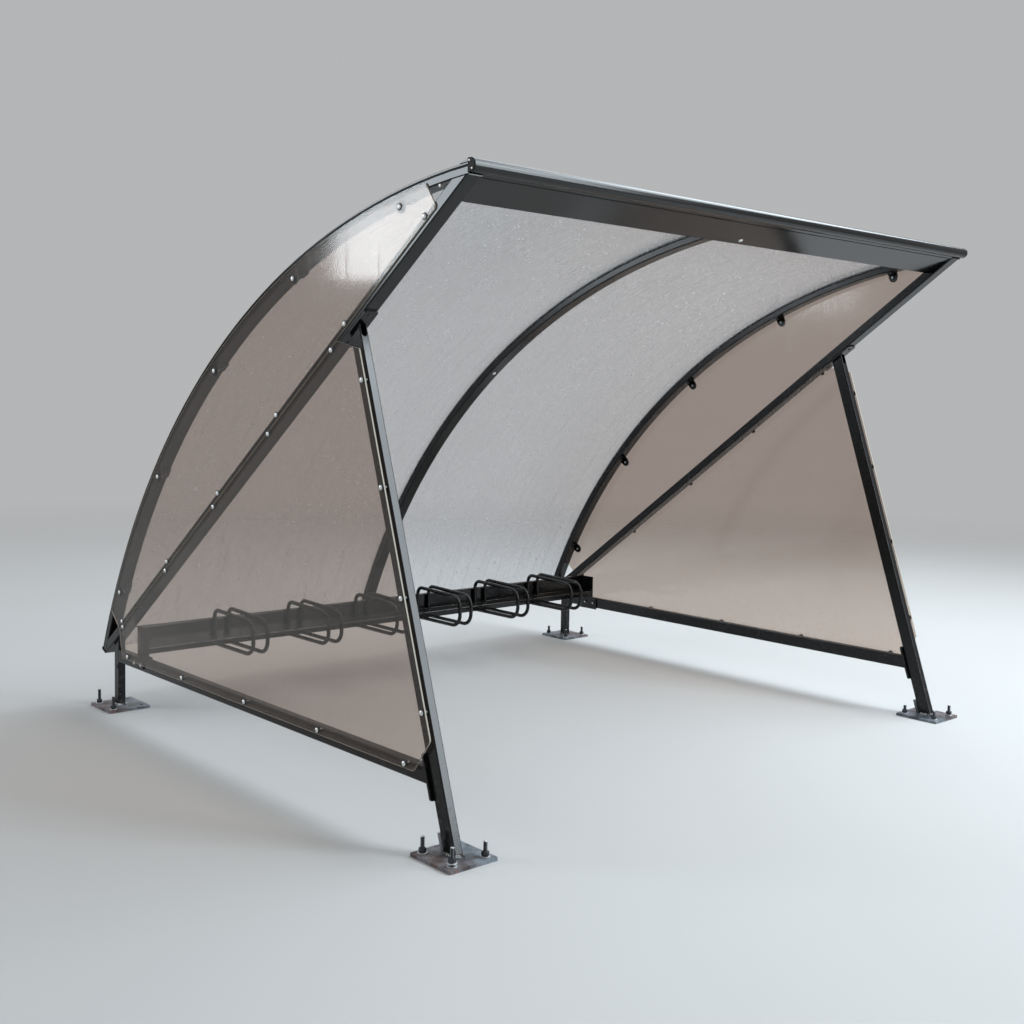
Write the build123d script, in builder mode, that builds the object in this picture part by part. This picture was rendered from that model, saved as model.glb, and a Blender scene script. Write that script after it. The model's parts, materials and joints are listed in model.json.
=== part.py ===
import os
from math import asin, atan2, cos, degrees, radians, sin, sqrt, tan

from build123d import *

os.makedirs("parts", exist_ok=True)

# Lengths are in millimetres, angles in degrees
# X runs along the shelter, Y from the open front to the back, Z up
# Side profiles are drawn with Y measured from the middle of the front feet

# Overall
frame_spacing = 2500
foot_spacing = 2125
frame_half = frame_spacing / 2

# Steel tube shared by the frame members
tube_wide = 50
tube_deep = 30
tube_wall = 3
tube_corner = 4

# Rolled arches, placed by the low end of their inner face
arch_inner_radius = 2607
arch_deep = 25
arch_foot_angle = 21.4
arch_foot_height = 206
arch_foot_reach = 84
arch_cap_thick = 10
arch_cap_lip = 1
arch_cap_corner = 7

# Roof sheets and the strips that clamp them
sheet_thick = 4
sheet_joint = 12
sheet_inset = 4
strip_wide = 46
strip_thick = 5
strip_chamfer = 1.5

# Eave at the open front
nose_back = -44
nose_deep = 30
nose_high = 38
nose_wall = 3
nose_step = 9
lip_long = 39
lip_thick = 2
lip_clearance = 0.3
eave_wall = 3
eave_back = 75
eave_drop = 55
groove_deep = 1.5
groove_wide = 4
groove_setback = 12
eave_cap_thick = 4
eave_cap_rim = 1.5

# Diagonals, the strings of the bows
diagonal_deep = 35

# Base plates and their anchor holes
plate_wide = 170
plate_long = 180
plate_thick = 10
plate_corner = 4
anchor_across = 118
anchor_along = 130
anchor_hole = 14
heel_thick = 12
heel_height = 50

# Front legs lean back towards the diagonals
leg_lean = 18.4
leg_foot_y = -3
notch_wide = 21
notch_high = 37

# Back posts
post_deep = 40
post_offset = 3

# Flange plates with their bolts
flange_thick = 6
flange_corner = 8
head_flange_long = 170
head_bolt_pitch = 129
bolt_hole = 10
rail_flange_long = 135
rail_flange_thick = 8
rail_flange_low = 146
rail_flange_bolt_inset = 15

# Bottom rails
rail_low = 185

# Side panels
panel_thick = 5
panel_corner = 12
panel_seam = 3
panel_seam_height = 12
panel_seam_end = 55
upper_panel_reach = 8
upper_front_y = 135
upper_front_cut = 85
upper_foot_angle = 25.7
lower_top_setback = 75
lower_top_drop = 24
lower_rear_gap = 82
lower_edge_lap = 21
lower_corner_rise = 102
lower_cut = 75

# Tabs that hold the upper panels to the arches
tab_count = 5
tab_high_clearance = 123.4765
tab_low_clearance = 129.7626
tab_wide = 40
tab_thick = 4
tab_bolt_inset = 20
tab_end_radius = 18

# Spacers behind the lower panels
spacer_diameter = 20
spacer_hole = 7
leg_spacer_first_z = 389
leg_spacer_pitch = 309
leg_spacer_count = 4
leg_screw_inset = 14
rail_spacer_first_y = 193
rail_spacer_setback = 6
rail_spacer_count = 5
rail_screw_drop = 8

# Rack beam and its end plates
beam_setback = 126
beam_deep = 86
beam_top = 340
beam_ledge_z = 270
beam_lip_high = 22
beam_wall = 4
beam_flange = 16
beam_bend = 4
end_plate_thick = 6
end_plate_drop = 7
end_plate_rise = 5
end_plate_toe = 31
end_plate_toe_high = 60
end_bolt_pitch = 57
end_bolt_setback = 71
stay_high = 40

# Plates that back the rack beam's bolts
backing_long = 100
backing_high = 32
backing_thick = 5

# Wheel racks, pairs of bent bars
rack_count = 6
rack_pitch = 350
rack_gap = 64
bar_diameter = 16
hoop_reach = 325
hoop_stand = 31
hoop_rise = 9
hoop_front_bend = 52
hoop_rear_bend = 32
hoop_tail = 55
hoop_weld_gap = 3

# Circles about the arches' centre
arch_centre_y = foot_spacing + arch_foot_reach - arch_inner_radius * cos(radians(arch_foot_angle))
arch_centre_z = arch_foot_height - arch_inner_radius * sin(radians(arch_foot_angle))
arch_outer_radius = arch_inner_radius + arch_deep
sheet_outer_radius = arch_outer_radius + sheet_thick
strip_outer_radius = sheet_outer_radius + strip_thick
cap_outer_radius = strip_outer_radius + arch_cap_lip
arch_low_angle = arch_foot_angle + degrees(arch_cap_thick / arch_inner_radius)

# Depth of the whole shelter, used to centre the origin
front_reach = min(-plate_long / 2, nose_back - nose_deep)
corner_turn = radians(arch_foot_angle) + arch_cap_corner / cap_outer_radius
arch_reach = arch_centre_y + (cap_outer_radius - arch_cap_corner) * cos(corner_turn) + arch_cap_corner
back_reach = max(foot_spacing + plate_long / 2, arch_reach)
middle_y = (front_reach + back_reach) / 2


def side_plane(x):
    """The side profile's plane, standing at x."""
    return Plane((x, -middle_y, 0), x_dir=(0, 1, 0), z_dir=(1, 0, 0))


def place(x, y, z):
    """A point of the side profile as a point of the model."""
    return (x, y - middle_y, z)


def arch_point(radius, angle):
    """A point on a circle about the arches' centre."""
    turn = radians(angle)
    return (arch_centre_y + radius * cos(turn), arch_centre_z + radius * sin(turn))


def arch_height(radius, y):
    """Height of a circle about the arches' centre, above y."""
    return arch_centre_z + sqrt(radius**2 - (y - arch_centre_y) ** 2)


def radial_plane(x, angle):
    """A plane through the arches' axis, with its own y pointing outwards."""
    turn = radians(angle)
    return Plane(place(x, arch_centre_y, arch_centre_z), x_dir=(1, 0, 0), z_dir=(0, -sin(turn), cos(turn)))


# The nose stands a step above the strips, and the diagonals start at its lower rear edge
nose_top = arch_height(strip_outer_radius, nose_back) + nose_step
nose_low = nose_top - nose_high
slope = atan2(nose_low - arch_foot_height, foot_spacing + arch_foot_reach - nose_back)
diagonal_height = nose_low + nose_back * tan(slope)
diagonal_up = (sin(slope), cos(slope))
lean = radians(leg_lean)
leg_up = (sin(lean), cos(lean))
leg_half = tube_wide / 2
post_y = foot_spacing + post_offset
beam_web_y = foot_spacing - beam_setback
beam_front_y = beam_web_y - beam_deep
arch_axis = Axis(place(0, arch_centre_y, arch_centre_z), (1, 0, 0))
sides = (("left", -1), ("right", 1))


def along_diagonal(y, height):
    """A point at a height square to the diagonal, from its underside."""
    base_z = diagonal_height - y * tan(slope)
    return (y + height * diagonal_up[0], base_z + height * diagonal_up[1])


def on_diagonal(y, height=0):
    """Height of a line along the diagonal, above y."""
    return diagonal_height - y * tan(slope) + height / cos(slope)


def angle_above_diagonal(radius, height):
    """Turn from the diagonal's direction to a point of a circle at a height above the diagonal."""
    centre_height = (arch_centre_z - on_diagonal(arch_centre_y)) * cos(slope)
    return degrees(asin((height - centre_height) / radius))


def leg_front(z):
    """Front face of a leg at height z."""
    return leg_foot_y - leg_half / cos(lean) + z * tan(lean)


def leg_back(z):
    """Rear face of a leg at height z."""
    return leg_foot_y + leg_half / cos(lean) + z * tan(lean)


def leg_meets_diagonal(line_foot_y, height):
    """Where a line along the leg meets a line along the diagonal."""
    z = on_diagonal(line_foot_y, height) / (1 + tan(lean) * tan(slope))
    return (line_foot_y + z * tan(lean), z)


def tube_section(wide, deep):
    """A rounded box section with the tube's wall."""
    RectangleRounded(wide, deep, tube_corner)
    RectangleRounded(wide - 2 * tube_wall, deep - 2 * tube_wall, tube_corner - tube_wall, mode=Mode.SUBTRACT)


def save(name, part):
    part.label = name
    export_step(part, f"parts/{name}.step")


# Base plates
for end, foot_y in (("front", 0), ("back", foot_spacing)):
    for side, sign in sides:
        x = sign * frame_half
        with BuildPart() as base:
            with BuildSketch(Plane.XY):
                with Locations(place(x, foot_y, 0)):
                    RectangleRounded(plate_wide, plate_long, plate_corner)
                    with GridLocations(anchor_across, anchor_along, 2, 2):
                        Circle(anchor_hole / 2, mode=Mode.SUBTRACT)
            extrude(amount=plate_thick)
            if end == "front":
                heel_top = plate_thick + heel_height
                with BuildSketch(side_plane(x)):
                    Polygon(
                        (leg_back(plate_thick), plate_thick),
                        (leg_back(heel_top), heel_top),
                        (leg_back(heel_top) + heel_thick, heel_top),
                        (leg_back(plate_thick) + heel_thick, plate_thick),
                        align=None,
                    )
                extrude(amount=tube_deep / 2, both=True)
        save(f"{end}_base_{side}", base.part)

# Front legs, mitred under the head flanges, with a notch at the top of the front wall
leg_top_face = Plane(
    place(0, *along_diagonal(0, -flange_thick)), x_dir=(1, 0, 0), z_dir=(0, *diagonal_up)
)
notch_top = leg_meets_diagonal(leg_front(0), -flange_thick)
for side, sign in sides:
    x = sign * frame_half
    foot = Plane(place(x, leg_foot_y, 0), x_dir=(1, 0, 0), z_dir=(0, *leg_up))
    with BuildPart() as leg:
        with BuildSketch(foot.offset(-tube_wide)):
            tube_section(tube_deep, tube_wide)
        extrude(amount=diagonal_height)
        split(bisect_by=Plane.XY.offset(plate_thick), keep=Keep.TOP)
        split(bisect_by=leg_top_face, keep=Keep.BOTTOM)
        front_wall = Plane(place(x, *notch_top), x_dir=(1, 0, 0), z_dir=(0, cos(lean), -sin(lean)))
        with BuildSketch(front_wall):
            SlotOverall(2 * notch_high, notch_wide, rotation=90)
        extrude(amount=tube_corner, mode=Mode.SUBTRACT)
    save(f"front_leg_{side}", leg.part)

# Head flanges between legs and diagonals
head_point = leg_meets_diagonal(leg_foot_y, -flange_thick)
for side, sign in sides:
    x = sign * frame_half
    with BuildPart() as head_flange:
        with BuildSketch(Plane(place(x, *head_point), x_dir=(1, 0, 0), z_dir=(0, *diagonal_up))):
            RectangleRounded(tube_wide, head_flange_long, flange_corner)
            with GridLocations(0, head_bolt_pitch, 1, 2):
                Circle(bolt_hole / 2, mode=Mode.SUBTRACT)
        extrude(amount=flange_thick)
    save(f"head_flange_{side}", head_flange.part)

# Diagonals, cut to the arches at both ends
for side, sign in sides:
    x = sign * frame_half
    start = Plane(place(x, 0, diagonal_height), x_dir=(1, 0, 0), z_dir=(0, cos(slope), -sin(slope)))
    bow = Cylinder(arch_inner_radius, 2 * tube_wide, rotation=(0, 90, 0), mode=Mode.PRIVATE)
    bow = Pos(*place(x, arch_centre_y, arch_centre_z)) * bow
    with BuildPart() as diagonal:
        with BuildSketch(start.offset(-foot_spacing / 4)):
            with Locations((0, -diagonal_deep / 2)):
                tube_section(tube_wide, diagonal_deep)
        extrude(amount=foot_spacing * 2)
        add(bow, mode=Mode.INTERSECT)
    save(f"diagonal_{side}", diagonal.part)

# Arches, the middle one behind the eave beam
for side, sign in (("left", -1), ("middle", 0), ("right", 1)):
    x = sign * frame_half
    arch_front = nose_back if sign else eave_back
    with BuildPart() as arch:
        with BuildSketch(radial_plane(x, arch_low_angle)):
            with Locations((0, arch_inner_radius + arch_deep / 2)):
                tube_section(tube_wide, arch_deep)
        revolve(axis=arch_axis, revolution_arc=90)
        split(bisect_by=Plane(place(x, arch_front, 0), z_dir=(0, 1, 0)), keep=Keep.TOP)
    save(f"arch_{side}", arch.part)

# Back posts, mitred under the diagonals
diagonal_underside = Plane(
    place(0, 0, diagonal_height), x_dir=(1, 0, 0), z_dir=(0, *diagonal_up)
)
for side, sign in sides:
    x = sign * frame_half
    with BuildPart() as post:
        with BuildSketch(Plane.XY.offset(plate_thick)):
            with Locations(place(x, post_y, 0)):
                tube_section(tube_deep, post_deep)
        extrude(amount=foot_spacing)
        split(bisect_by=diagonal_underside, keep=Keep.BOTTOM)
    save(f"back_post_{side}", post.part)

# Rail flanges on the rear faces of the legs
for side, sign in sides:
    x = sign * frame_half
    low = Plane(
        place(x, leg_back(rail_flange_low), rail_flange_low), x_dir=(1, 0, 0), z_dir=(0, cos(lean), -sin(lean))
    )
    with BuildPart() as rail_flange:
        with BuildSketch(low):
            with Locations((0, -rail_flange_long / 2)):
                RectangleRounded(tube_wide, rail_flange_long, flange_corner)
                with GridLocations(0, rail_flange_long - 2 * rail_flange_bolt_inset, 1, 2):
                    Circle(bolt_hole / 2, mode=Mode.SUBTRACT)
        extrude(amount=rail_flange_thick)
    save(f"rail_flange_{side}", rail_flange.part)

# Bottom rails, from the rail flanges to the back posts
rail_front_face = Plane(
    place(0, leg_back(0) + rail_flange_thick / cos(lean), 0), x_dir=(1, 0, 0), z_dir=(0, cos(lean), -sin(lean))
)
for side, sign in sides:
    x = sign * frame_half
    with BuildPart() as rail:
        with BuildSketch(Plane(place(x, 0, rail_low + tube_wide / 2), x_dir=(1, 0, 0), z_dir=(0, 1, 0))):
            tube_section(tube_deep, tube_wide)
        extrude(amount=post_y - post_deep / 2)
        split(bisect_by=rail_front_face, keep=Keep.TOP)
    save(f"bottom_rail_{side}", rail.part)

# Eave nose, a hollow half-round profile with a lip over the roof's front edge
nose_radius = nose_high / 2
nose_round_y = nose_back - nose_deep + nose_radius
lip_end = nose_back + lip_long
lip_front_low = arch_height(strip_outer_radius, nose_back) + lip_clearance
lip_end_low = arch_height(strip_outer_radius, lip_end) + lip_clearance
with BuildPart() as nose:
    with BuildSketch(side_plane(-frame_half - tube_wide / 2)):
        with BuildLine():
            Line((nose_back, nose_top), (nose_back, nose_low))
            Line((nose_back, nose_low), (nose_round_y, nose_low))
            CenterArc((nose_round_y, nose_low + nose_radius), nose_radius, 90, 180)
            Line((nose_round_y, nose_top), (nose_back, nose_top))
        make_face()
        offset(amount=-nose_wall, kind=Kind.INTERSECTION, mode=Mode.SUBTRACT)
        Polygon(
            (nose_back - nose_wall, nose_top),
            (nose_back, nose_top),
            (lip_end, lip_end_low + lip_thick),
            (lip_end, lip_end_low),
            (nose_back, lip_front_low),
            (nose_back - nose_wall, lip_front_low),
            align=None,
        )
    extrude(amount=frame_spacing + tube_wide)
save("eave_nose", nose.part)

# Caps that close the nose and the arches' low ends
with BuildPart() as caps:
    for side, sign in sides:
        with BuildSketch(side_plane(sign * (frame_half + tube_wide / 2))):
            with BuildLine():
                Line((nose_back, nose_top), (nose_back, nose_low))
                Line((nose_back, nose_low), (nose_round_y, nose_low))
                CenterArc((nose_round_y, nose_low + nose_radius), nose_radius, 90, 180)
                Line((nose_round_y, nose_top), (nose_back, nose_top))
            make_face()
        extrude(amount=sign * eave_cap_thick)
    for end in (0, -1):
        fillet(caps.faces().sort_by(Axis.X)[end].edges(), eave_cap_rim)
    for x in (-frame_half, 0, frame_half):
        with BuildSketch(radial_plane(x, arch_foot_angle)):
            with Locations((0, (arch_inner_radius + cap_outer_radius) / 2)):
                Rectangle(tube_wide + 2 * arch_cap_lip, cap_outer_radius - arch_inner_radius)
        revolve(axis=arch_axis, revolution_arc=arch_low_angle - arch_foot_angle)
    low_faces = caps.faces().filter_by(radial_plane(0, arch_foot_angle))
    fillet(low_faces.edges().filter_by(Axis.X).group_by(Axis.Y)[-1], arch_cap_corner)
save("end_caps", caps.part)

# Eave beam, a folded box between the outer arches
eave_back_low = nose_low - eave_drop
with BuildPart() as eave:
    with BuildSketch(side_plane(-frame_half + tube_wide / 2)):
        Polygon(
            (nose_back, nose_low),
            (eave_back, eave_back_low),
            (eave_back, arch_height(arch_outer_radius, eave_back)),
            (nose_back, arch_height(arch_outer_radius, nose_back)),
            align=None,
        )
        offset(amount=-eave_wall, kind=Kind.INTERSECTION, mode=Mode.SUBTRACT)
    extrude(amount=frame_spacing - tube_wide)
    fold = atan2(nose_low - eave_back_low, eave_back - nose_back)
    groove_mid = (nose_back + groove_setback, nose_low - groove_setback * tan(fold))
    with BuildSketch(side_plane(-frame_half + tube_wide / 2)):
        with Locations(groove_mid):
            Rectangle(groove_wide, 2 * groove_deep, rotation=-degrees(fold))
    extrude(amount=frame_spacing - tube_wide, mode=Mode.SUBTRACT)
save("eave_beam", eave.part)

# Roof sheets, bent over the arches
nose_plane = Plane(place(0, nose_back, 0), z_dir=(0, 1, 0))
sheet_wide = (frame_spacing + strip_wide - 2 * sheet_inset - sheet_joint) / 2
for side, sign in sides:
    with BuildPart() as sheet:
        with BuildSketch(radial_plane(0, arch_low_angle)):
            with Locations((sign * (sheet_joint + sheet_wide) / 2, arch_outer_radius + sheet_thick / 2)):
                Rectangle(sheet_wide, sheet_thick)
        revolve(axis=arch_axis, revolution_arc=90)
        split(bisect_by=nose_plane, keep=Keep.TOP)
    save(f"roof_sheet_{side}", sheet.part)

# Strips over the sheets' edges and joint
for side, sign in (("left", -1), ("middle", 0), ("right", 1)):
    x = sign * frame_half
    with BuildPart() as strip:
        with BuildSketch(radial_plane(x, arch_low_angle)):
            with Locations((0, sheet_outer_radius + strip_thick / 2)):
                strip_face = Rectangle(strip_wide, strip_thick)
            chamfer(strip_face.vertices().group_by(Axis.Y)[-1], strip_chamfer)
        revolve(axis=arch_axis, revolution_arc=90)
        split(bisect_by=nose_plane, keep=Keep.TOP)
    save(f"roof_strip_{side}", strip.part)

# Tabs on the inner faces of the outer arches
tab_seat = sqrt(arch_inner_radius**2 - (tab_wide / 2) ** 2)
tab_first_angle = 180 - angle_above_diagonal(tab_seat - tab_bolt_inset, tab_high_clearance) - degrees(slope)
tab_last_angle = angle_above_diagonal(tab_seat - tab_bolt_inset, tab_low_clearance) - degrees(slope)
tab_step_angle = (tab_first_angle - tab_last_angle) / (tab_count - 1)
tab_angles = [tab_first_angle - tab_step_angle * step for step in range(tab_count)]
panel_face = tube_wide / 2
for side, sign in sides:
    x = sign * frame_half
    with BuildPart() as tabs:
        for angle in tab_angles:
            with BuildSketch(radial_plane(x, angle)):
                with Locations((0, tab_seat - tab_thick / 2)):
                    Rectangle(tube_wide, tab_thick)
            extrude(amount=tab_wide / 2, both=True)
            turn = radians(angle)
            tab_frame = Plane(
                place(x + sign * panel_face, *arch_point(tab_seat, angle)),
                x_dir=(0, -sin(turn), cos(turn)),
                z_dir=(-sign, 0, 0),
            )
            with BuildSketch(tab_frame):
                inward = tab_frame.to_local_coords(Vector(*place(x, *arch_point(0, angle)))).Y
                inward = 1 if inward > 0 else -1
                with Locations((0, inward * tab_bolt_inset / 2)):
                    Rectangle(tab_wide, tab_bolt_inset)
                with Locations((0, inward * tab_bolt_inset)):
                    Circle(tab_end_radius)
                    Circle(spacer_hole / 2, mode=Mode.SUBTRACT)
            extrude(amount=tab_thick)
    save(f"panel_tabs_{side}", tabs.part)

# Upper panels between arch and diagonal
seam_end_y = foot_spacing - panel_seam_end
upper_radius = arch_outer_radius - upper_panel_reach
upper_seam = panel_seam_height + panel_seam
upper_top = (upper_front_y, arch_height(upper_radius, upper_front_y))
upper_top_angle = degrees(atan2(upper_top[1] - arch_centre_z, upper_top[0] - arch_centre_y))
upper_front_low = (upper_front_cut, on_diagonal(upper_front_cut, upper_seam))
upper_rear_low = (seam_end_y, on_diagonal(seam_end_y, upper_seam))
for side, sign in sides:
    with BuildPart() as upper:
        with BuildSketch(side_plane(sign * (frame_half + panel_face))):
            with BuildLine():
                CenterArc(
                    (arch_centre_y, arch_centre_z),
                    upper_radius,
                    upper_foot_angle,
                    upper_top_angle - upper_foot_angle,
                )
                Line(upper_top, upper_front_low)
                Line(upper_front_low, upper_rear_low)
                Line(upper_rear_low, arch_point(upper_radius, upper_foot_angle))
            make_face()
        extrude(amount=sign * panel_thick)
        front_edges = upper.edges().filter_by(Axis.X).sort_by(Axis.Y)[:2]
        fillet(front_edges, panel_corner)
    save(f"upper_panel_{side}", upper.part)

# Lower panels over diagonal, leg and bottom rail
lower_edge_z = rail_low + tube_wide - lower_edge_lap
lower_corner_z = lower_edge_z + lower_corner_rise
lower_top_y = head_point[0] + lower_top_setback
lower_top_z = on_diagonal(lower_top_y, panel_seam_height)
lower_front_z = lower_top_z - lower_top_drop
for side, sign in sides:
    with BuildPart() as lower:
        with BuildSketch(side_plane(sign * (frame_half + panel_face))):
            Polygon(
                (lower_top_y, lower_top_z),
                (leg_front(lower_front_z), lower_front_z),
                (leg_front(lower_corner_z), lower_corner_z),
                (leg_front(lower_corner_z) + lower_cut, lower_edge_z),
                (foot_spacing - lower_rear_gap, lower_edge_z),
                (seam_end_y, on_diagonal(seam_end_y, panel_seam_height)),
                align=None,
            )
        extrude(amount=sign * panel_thick)
        corner_edges = lower.edges().filter_by(Axis.X).sort_by(Axis.Y)
        fillet(corner_edges[:2], panel_corner)
    save(f"lower_panel_{side}", lower.part)

# Spacers between the lower panels and the narrower legs and rails
leg_spots = []
for step in range(leg_spacer_count):
    spot_z = leg_spacer_first_z + leg_spacer_pitch * step
    leg_spots.append((leg_front(spot_z) + leg_screw_inset / cos(lean), spot_z))
rail_spots = []
rail_spacer_last_y = beam_web_y - rail_spacer_setback
rail_spacer_pitch = (rail_spacer_last_y - rail_spacer_first_y) / (rail_spacer_count - 1)
for step in range(rail_spacer_count):
    rail_spots.append((rail_spacer_first_y + rail_spacer_pitch * step, rail_low + tube_wide - rail_screw_drop))
for side, sign in sides:
    with BuildPart() as spacers:
        with BuildSketch(side_plane(sign * (frame_half + tube_deep / 2))):
            with Locations(*leg_spots, *rail_spots):
                Circle(spacer_diameter / 2)
                Circle(spacer_hole / 2, mode=Mode.SUBTRACT)
        extrude(amount=sign * (panel_face - tube_deep / 2))
    save(f"panel_spacers_{side}", spacers.part)

# Rack beam, folded from one plate, with its end plates
beam_half = frame_half - tube_deep / 2
beam_lip_low = beam_ledge_z - beam_lip_high
end_plate_low = rail_low - end_plate_drop
end_plate_high = beam_top + end_plate_rise
end_plate_front = beam_front_y - beam_wall / 2
end_plate_rear = beam_web_y + beam_wall / 2
toe_front = beam_front_y - end_plate_toe
toe_high = end_plate_low + end_plate_toe_high
end_bolts = (beam_web_y - end_bolt_setback, rail_low + tube_wide / 2)
with BuildPart() as beam:
    with BuildSketch(side_plane(-beam_half)):
        with BuildLine():
            FilletPolyline(
                (beam_front_y, beam_lip_low),
                (beam_front_y, beam_ledge_z),
                (beam_web_y, beam_ledge_z),
                (beam_web_y, beam_top),
                (beam_web_y + beam_flange, beam_top),
                radius=beam_bend,
            )
            offset(amount=beam_wall / 2, side=Side.BOTH)
        make_face()
    extrude(amount=2 * beam_half)
    for plate_x in (-beam_half, beam_half - end_plate_thick):
        with BuildSketch(side_plane(plate_x)):
            Polygon(
                (toe_front, end_plate_low),
                (end_plate_rear, end_plate_low),
                (end_plate_rear, end_plate_high),
                (end_plate_front, end_plate_high),
                (end_plate_front, toe_high),
                (toe_front, toe_high),
                align=None,
            )
            with Locations(end_bolts):
                with GridLocations(end_bolt_pitch, 0, 2, 1):
                    Circle(bolt_hole / 2, mode=Mode.SUBTRACT)
        extrude(amount=end_plate_thick)
save("rack_beam", beam.part)

# Stay between the rack beam and the foot of the middle arch
with BuildPart() as stay:
    stay_z = beam_top - beam_wall - stay_high / 2
    with BuildSketch(Plane(place(0, beam_web_y + beam_wall / 2, stay_z), x_dir=(1, 0, 0), z_dir=(0, 1, 0))):
        tube_section(tube_wide, stay_high)
    extrude(amount=foot_spacing)
    bow = Cylinder(arch_inner_radius, 2 * tube_wide, rotation=(0, 90, 0), mode=Mode.PRIVATE)
    add(Pos(*place(0, arch_centre_y, arch_centre_z)) * bow, mode=Mode.INTERSECT)
save("arch_stay", stay.part)

# Plates outside the rails behind the rack beam's bolts
with BuildPart() as backing:
    for side, sign in sides:
        with BuildSketch(side_plane(sign * (frame_half + tube_deep / 2))):
            with Locations(end_bolts):
                SlotOverall(backing_long, backing_high)
                with GridLocations(end_bolt_pitch, 0, 2, 1):
                    Circle(bolt_hole / 2, mode=Mode.SUBTRACT)
        extrude(amount=sign * backing_thick)
save("backing_plates", backing.part)

# Wheel racks, each a pair of bent round bars
hoop_low = beam_lip_low - bar_diameter / 2
hoop_top = beam_top + hoop_stand
hoop_front_y = beam_web_y - hoop_reach
hoop_rear_y = beam_web_y - beam_wall / 2 - hoop_weld_gap - bar_diameter / 2
rack_first = -rack_pitch * (rack_count - 1) / 2
for number in range(rack_count):
    rack_x = rack_first + rack_pitch * number
    with BuildPart() as rack:
        for bar_x in (rack_x - rack_gap / 2, rack_x + rack_gap / 2):
            with BuildLine(side_plane(bar_x)) as bar_path:
                FilletPolyline(
                    (hoop_rear_y, beam_ledge_z + beam_wall / 2),
                    (hoop_rear_y, hoop_top + hoop_rise),
                    (hoop_front_y, hoop_top),
                    (hoop_front_y, hoop_low),
                    (beam_front_y + hoop_tail, hoop_low),
                    radius=[hoop_rear_bend, hoop_front_bend, hoop_front_bend],
                )
            with BuildSketch(Plane(bar_path.line @ 0, z_dir=bar_path.line % 0)):
                Circle(bar_diameter / 2)
            sweep()
    save(f"wheel_rack_{number + 1}", rack.part)
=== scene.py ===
import json
import random
from math import atan2, cos, pi, radians, sin, sqrt, tan

import bpy
from mathutils import Euler, Matrix, Vector


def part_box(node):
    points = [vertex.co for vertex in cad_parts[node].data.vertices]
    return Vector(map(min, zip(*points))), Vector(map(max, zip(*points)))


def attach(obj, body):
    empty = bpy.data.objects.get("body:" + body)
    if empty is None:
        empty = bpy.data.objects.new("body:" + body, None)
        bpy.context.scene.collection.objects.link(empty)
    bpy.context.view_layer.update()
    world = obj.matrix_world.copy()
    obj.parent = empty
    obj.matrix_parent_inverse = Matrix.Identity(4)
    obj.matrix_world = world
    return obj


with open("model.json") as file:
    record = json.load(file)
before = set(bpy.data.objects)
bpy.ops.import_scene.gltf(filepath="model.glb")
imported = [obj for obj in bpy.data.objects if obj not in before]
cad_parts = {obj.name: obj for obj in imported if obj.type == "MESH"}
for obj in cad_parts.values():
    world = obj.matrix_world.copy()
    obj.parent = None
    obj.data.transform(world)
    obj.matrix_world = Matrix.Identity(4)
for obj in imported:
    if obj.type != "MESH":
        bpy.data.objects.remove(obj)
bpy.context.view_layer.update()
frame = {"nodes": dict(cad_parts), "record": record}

# Lengths are in metres and angles in radians
# In a side profile, y is measured from the middle of the front feet

# The shelter's main lines, read from the frame
front_plate_low, front_plate_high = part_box("front_base_left")
back_plate_low, back_plate_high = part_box("back_base_left")
frame_half = -(front_plate_low.x + front_plate_high.x) / 2
front_y = (front_plate_low.y + front_plate_high.y) / 2
foot_spacing = (back_plate_low.y + back_plate_high.y) / 2 - front_y
plate_top = back_plate_high.z
nose_tall = 0.038
nose_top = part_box("end_caps")[1].z
nose_low = nose_top - nose_tall
sides = (("left", -1), ("right", 1))

# Rolled arches
arch_radius = 2.607
arch_deep = 0.025
arch_foot_turn = radians(21.4)
arch_foot_reach = 0.084
arch_foot_height = 0.206
arch_centre_y = foot_spacing + arch_foot_reach - arch_radius * cos(arch_foot_turn)
arch_centre_z = arch_foot_height - arch_radius * sin(arch_foot_turn)

# Straight members
tube_half = 0.025
thin_half = 0.015
nose_back = -0.044
slope = atan2(nose_low - arch_foot_height, foot_spacing + arch_foot_reach - nose_back)
diagonal_height = nose_low + nose_back * tan(slope)
lean = radians(18.4)
leg_foot_y = -0.003
rail_low = 0.185
post_set_back = 0.003
post_y = foot_spacing + post_set_back
post_half = 0.02
beam_forward = 0.126
beam_web_y = foot_spacing - beam_forward
panel_thick = 0.005
panel_outer = frame_half + tube_half + panel_thick


def spot(x, y, z):
    """A point of the side profile, standing at x."""
    return Vector((x, front_y + y, z))


def on_diagonal(y, height):
    """Where a line stands at y that runs along the diagonals, some height over their lower faces."""
    return diagonal_height - y * tan(slope) + height / cos(slope)


def on_arch(x, radius, turn):
    """A point on a circle about the arches' centre."""
    return spot(x, arch_centre_y + radius * cos(turn), arch_centre_z + radius * sin(turn))


# Shader maths


class Value:
    """A shader socket that takes part in arithmetic."""

    def __init__(self, finish, socket):
        self.finish = finish
        self.socket = socket

    def maths(self, operation, first, second):
        return self.finish.node("Math", {"operation": operation}, {0: first, 1: second})

    def __add__(self, other):
        return self.maths("ADD", self, other)

    def __radd__(self, other):
        return self.maths("ADD", other, self)

    def __sub__(self, other):
        return self.maths("SUBTRACT", self, other)

    def __rsub__(self, other):
        return self.maths("SUBTRACT", other, self)

    def __mul__(self, other):
        return self.maths("MULTIPLY", self, other)

    def __rmul__(self, other):
        return self.maths("MULTIPLY", other, self)

    def __truediv__(self, other):
        return self.maths("DIVIDE", self, other)

    def __pow__(self, other):
        return self.maths("POWER", self, other)

    def __abs__(self):
        return self.maths("ABSOLUTE", self, 0.0)


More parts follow.
